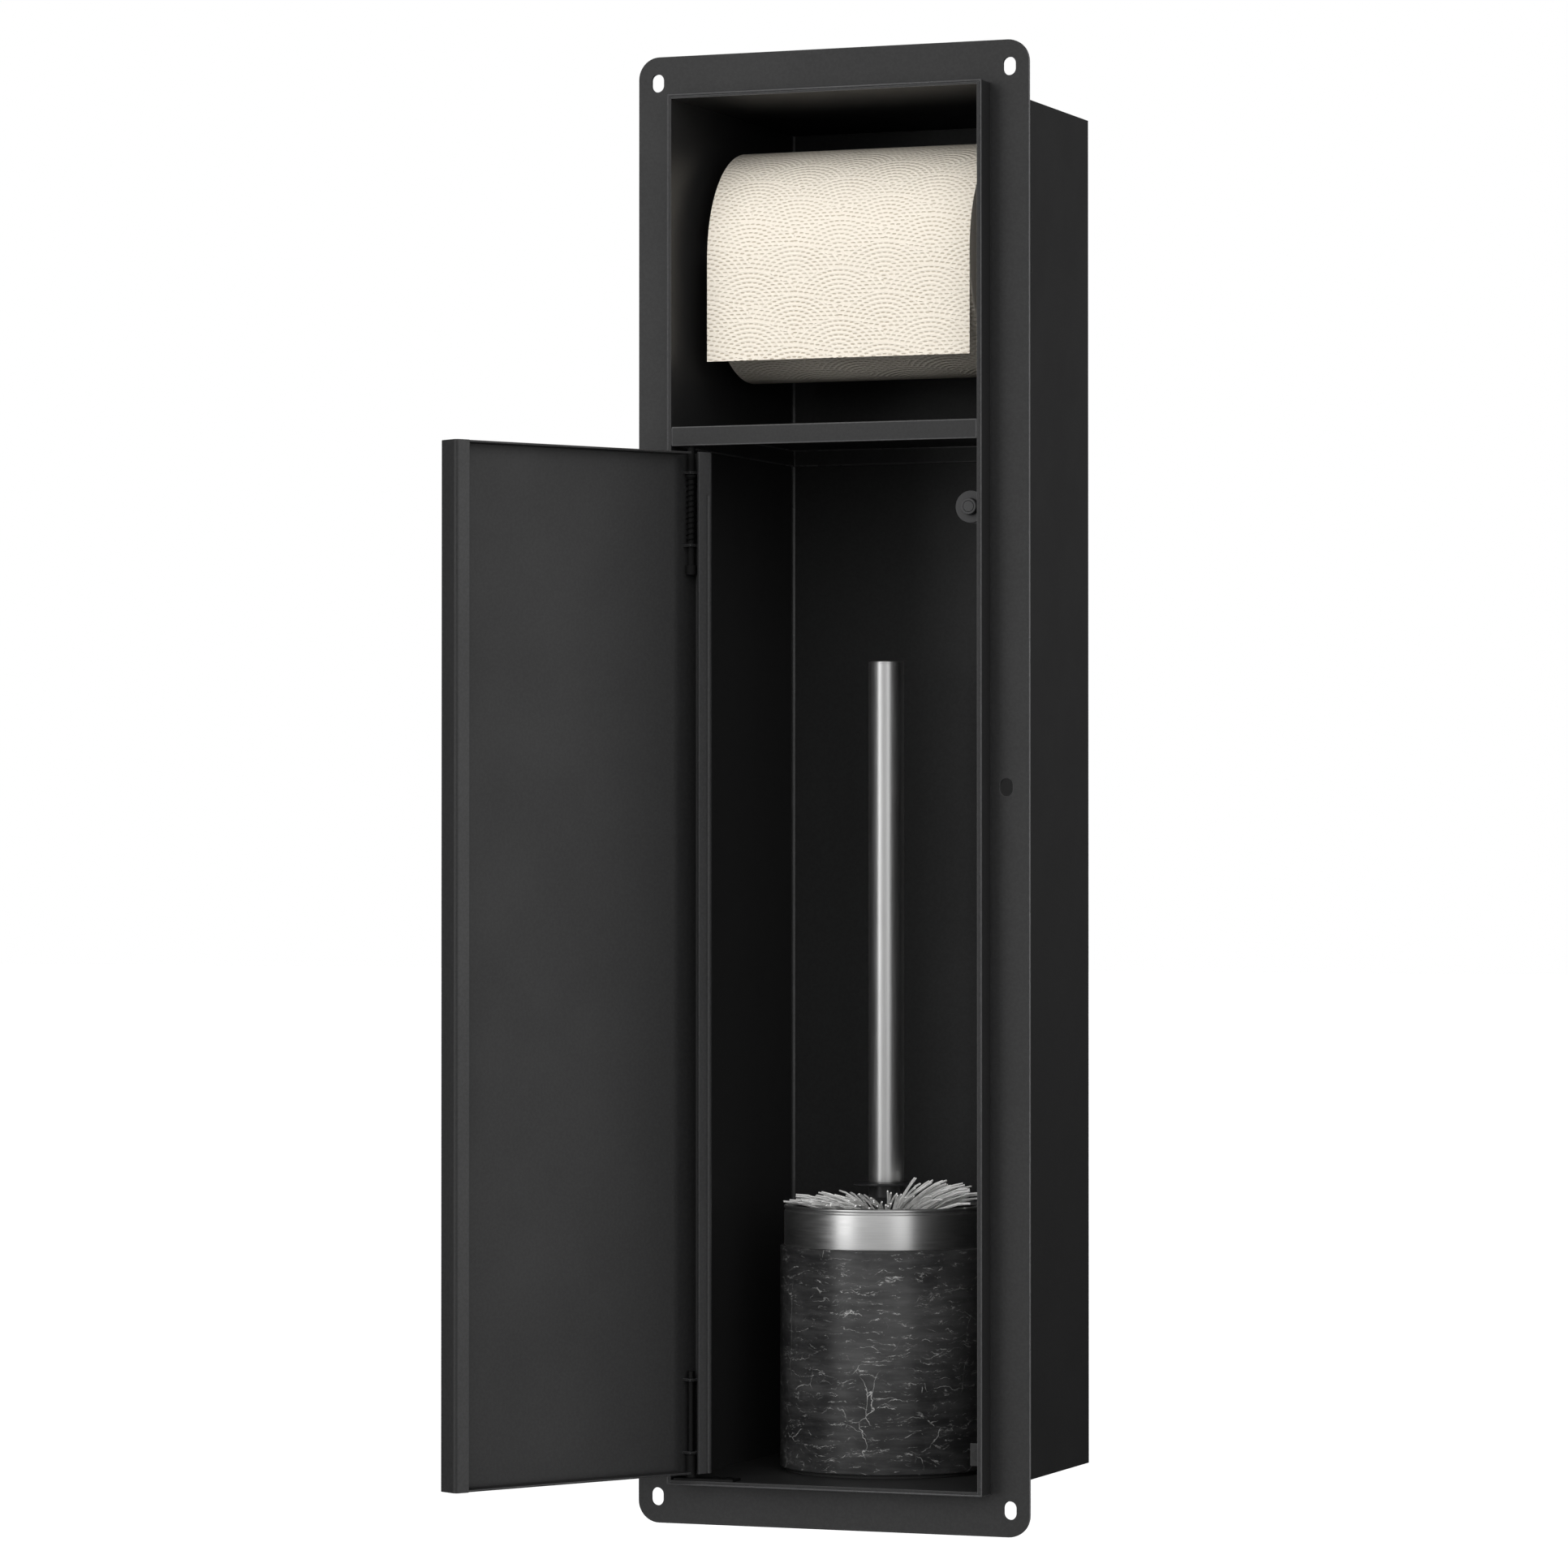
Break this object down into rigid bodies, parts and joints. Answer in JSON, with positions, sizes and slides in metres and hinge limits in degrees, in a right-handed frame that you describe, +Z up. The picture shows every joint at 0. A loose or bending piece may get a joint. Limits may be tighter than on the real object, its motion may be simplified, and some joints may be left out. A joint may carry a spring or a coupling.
{
  "type": "bathroom cabinet",
  "caption": "Tall recessed steel bathroom cabinet with a face flange, an open niche for a paper roll on a sprung spindle, and a compartment with a pivoting tray door for a brush in its holder.",
  "frame": {"origin": "centre of the face flange on its back face, which lies on the wall", "axes": "+Y into the wall, +Z up, +X to the right as seen from the room"},
  "size_m": [0.2072, 0.2447, 0.6],
  "materials": {
    "black_coat": "satin black powder coat, faint orange peel",
    "brushed_steel": "satin brushed stainless steel",
    "polished_steel": "bright polished stainless steel",
    "zinc_steel": "plain zinc plated steel",
    "spring_steel": "drawn spring wire",
    "spindle_plastic": "matt black moulded plastic",
    "pivot_plastic": "matt black moulded plastic",
    "latch_plastic": "dark grey moulded plastic",
    "plunger_plastic": "grey moulded plastic",
    "magnet_nickel": "nickel plated",
    "spacer_nylon": "natural nylon",
    "bumper_rubber": "soft grey rubber",
    "foot_rubber": "black rubber",
    "card": "plain grey brown board",
    "paper": "soft cream tissue, embossed",
    "marble_glaze": "black with fine pale veins, satin",
    "liner_plastic": "black moulded plastic",
    "disc_plastic": "black, slightly glossy",
    "bristle": "pale translucent nylon bristles"
  },
  "bodies": {
    "cabinet": {"wall_flange": "black_coat", "collar": "black_coat", "left_wall": "black_coat", "right_wall": "black_coat", "top_wall": "black_coat", "bottom_wall": "black_coat", "back_panel": "black_coat", "divider_shelf": "black_coat", "left_roll_cup": "brushed_steel", "right_roll_cup": "brushed_steel", "cup_rivets": "zinc_steel", "spindle_outer_sleeve": "spindle_plastic", "spindle_spring": "spring_steel", "upper_pivot_block": "pivot_plastic", "lower_pivot_plate": "zinc_steel", "lower_pivot_rivets": "zinc_steel", "lower_spacer": "spacer_nylon", "latch_housing": "latch_plastic", "latch_clip": "latch_plastic", "latch_screws": "zinc_steel", "latch_spring": "spring_steel", "stop_bracket": "black_coat", "stop_bumper": "bumper_rubber", "stop_rivet": "zinc_steel", "holder_foot": "foot_rubber", "holder_sleeve": "marble_glaze", "holder_ring": "polished_steel", "holder_liner": "liner_plastic"},
    "spindle_slider": {"spindle_inner_sleeve": "spindle_plastic"},
    "roll": {"card_core": "card", "paper_roll": "paper", "outer_sheet": "paper"},
    "door": {"door_tray": "black_coat", "upper_hinge_carrier": "black_coat", "lower_hinge_carrier": "black_coat", "pin_spring": "spring_steel"},
    "upper_pin": {"upper_pivot_pin": "pivot_plastic"},
    "plunger": {"latch_plunger": "plunger_plastic", "latch_magnet": "magnet_nickel"},
    "brush": {"brush_handle": "brushed_steel", "handle_cap": "brushed_steel", "drip_disc": "disc_plastic", "brush_ferrule": "disc_plastic", "bristle_fan": "bristle", "bristle_body": "bristle", "brush_tip": "disc_plastic"}
  },
  "joints": [
    {"name": "door_hinge", "type": "hinge", "parent": "cabinet", "child": "door", "pos_m": [-0.0586, -0.0083, -0.07], "axis": [0, 0, 1], "range_deg": [-4, 120]},
    {"name": "roll_spin", "type": "hinge", "parent": "cabinet", "child": "roll", "pos_m": [0, 0.053, 0.217], "axis": [1, 0, 0], "continuous": true},
    {"name": "spindle_squeeze", "type": "slide", "parent": "cabinet", "child": "spindle_slider", "axis": [-1, 0, 0], "range_m": [0, 0.005], "stiffness_N_per_m": 1500, "springref_m": -0.006, "deforming": ["spindle_spring"]},
    {"name": "upper_pin_pull", "type": "slide", "parent": "door", "child": "upper_pin", "axis": [0, 0, -1], "range_m": [0, 0.0046], "stiffness_N_per_m": 800, "springref_m": -0.005, "deforming": ["pin_spring"]},
    {"name": "latch_press", "type": "slide", "parent": "cabinet", "child": "plunger", "axis": [0, 1, 0], "range_m": [0, 0.003], "stiffness_N_per_m": 500, "springref_m": -0.004, "deforming": ["latch_spring"]},
    {"name": "brush_lift", "type": "slide", "parent": "cabinet", "child": "brush", "axis": [0, 0, 1], "range_m": [0, 0.084]}
  ]
}
